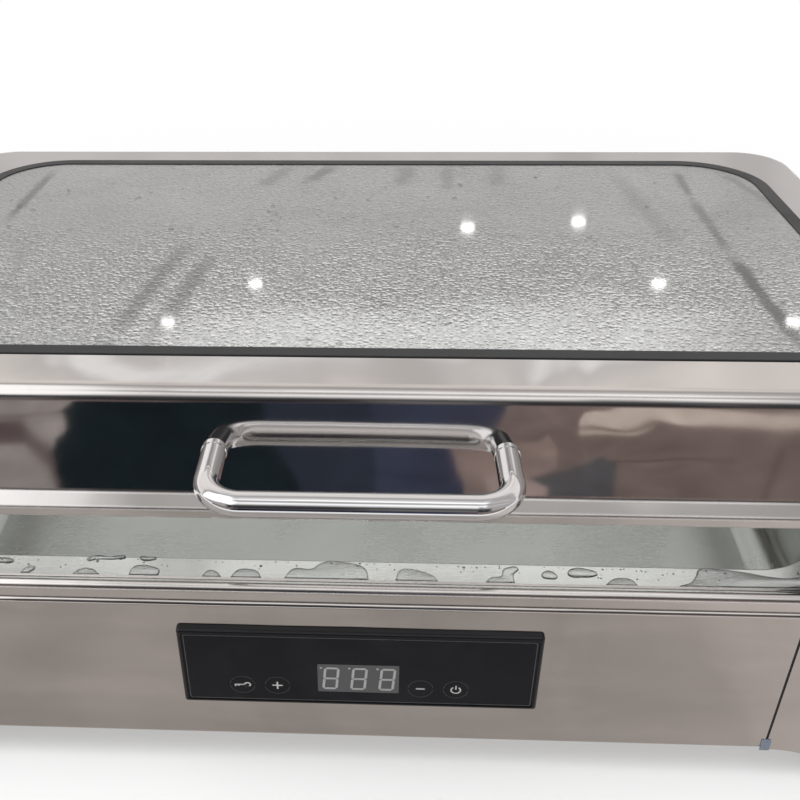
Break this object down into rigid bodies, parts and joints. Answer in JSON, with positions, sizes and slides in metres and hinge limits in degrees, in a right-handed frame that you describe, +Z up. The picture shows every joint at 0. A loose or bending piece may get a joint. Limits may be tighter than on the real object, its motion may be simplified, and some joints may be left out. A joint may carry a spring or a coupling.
{
  "type": "electric food warmer",
  "caption": "Countertop electric food warmer: polished stainless casing with flared corner legs, touch panel, water bath with a food pan, and a rear-hinged lid with a glass window.",
  "frame": {"origin": "bottom centre of the bounding box, on the table", "axes": "+X to the object's right seen from its front, +Y to the rear hinge, +Z up; the lid stands ajar as in the rest pose"},
  "size_m": [0.6936, 0.4856, 0.2395],
  "materials": {
    "casing_steel": "polished stainless steel",
    "deck_steel": "polished stainless steel",
    "pan_steel": "satin stainless steel",
    "lid_steel": "polished stainless steel",
    "handle_chrome": "bright chrome",
    "galvanised": "zinc plated",
    "fixing_steel": "bright steel",
    "black_rubber": "matte",
    "seal_rubber": "semi matte",
    "lid_glass": "clear toughened glass",
    "panel_glass": "gloss black",
    "black_plastic": "gloss black",
    "dark_plastic": "matte black",
    "grey_plastic": "matte blue grey",
    "white_plastic": "matte",
    "board_green": "solder resist",
    "aluminium": "plain",
    "insulation": "ceramic fibre felt",
    "brass": "plain"
  },
  "bodies": {
    "base": {"front_panel": "casing_steel", "rear_panel": "casing_steel", "side_panel_left": "casing_steel", "side_panel_right": "casing_steel", "corner_leg_front_left": "casing_steel", "corner_leg_front_right": "casing_steel", "corner_leg_rear_left": "casing_steel", "corner_leg_rear_right": "casing_steel", "seam_strips": "black_rubber", "seam_plugs": "grey_plastic", "base_plate": "galvanised", "base_screws": "fixing_steel", "rubber_feet": "black_rubber", "deck": "deck_steel", "water_pan": "deck_steel", "deck_gasket": "black_rubber", "food_pan": "pan_steel", "heater_plate": "aluminium", "heating_element": "fixing_steel", "element_terminals": "brass", "insulation_pad": "insulation", "heat_shield": "galvanised", "shield_studs": "fixing_steel", "shield_nuts": "fixing_steel", "thermal_cutout": "aluminium", "water_probe": "fixing_steel", "control_bezel": "black_plastic", "control_glass": "panel_glass", "display_module": "dark_plastic", "touch_pads": "white_plastic", "touch_board": "board_green", "control_cover": "dark_plastic", "control_screws": "fixing_steel", "power_board": "board_green", "board_standoffs": "white_plastic", "power_relay": "dark_plastic", "board_transformer": "dark_plastic", "mains_inlet": "dark_plastic", "inlet_pins": "brass", "inlet_screws": "fixing_steel", "hinge_base_bracket": "fixing_steel", "hinge_bushes": "brass", "damper_barrel": "dark_plastic", "damper_caps": "dark_plastic", "base_bracket_screws": "fixing_steel", "base_bracket_nuts": "fixing_steel"},
    "lid": {"lid_shell": "lid_steel", "lid_glass": "lid_glass", "glass_seal": "seal_rubber", "lid_handle": "handle_chrome", "handle_ferrules": "handle_chrome", "handle_washers": "fixing_steel", "handle_screws": "fixing_steel", "hinge_lid_bracket": "fixing_steel", "hinge_shaft": "fixing_steel", "shaft_circlips": "fixing_steel", "lid_bracket_screws": "fixing_steel", "lid_bracket_nuts": "fixing_steel"}
  },
  "joints": [
    {"name": "lid_hinge", "type": "hinge", "parent": "base", "child": "lid", "pos_m": [0, 0.22984, 0.144], "axis": [-1, 0, 0], "range_deg": [-4.9, 80]}
  ]
}
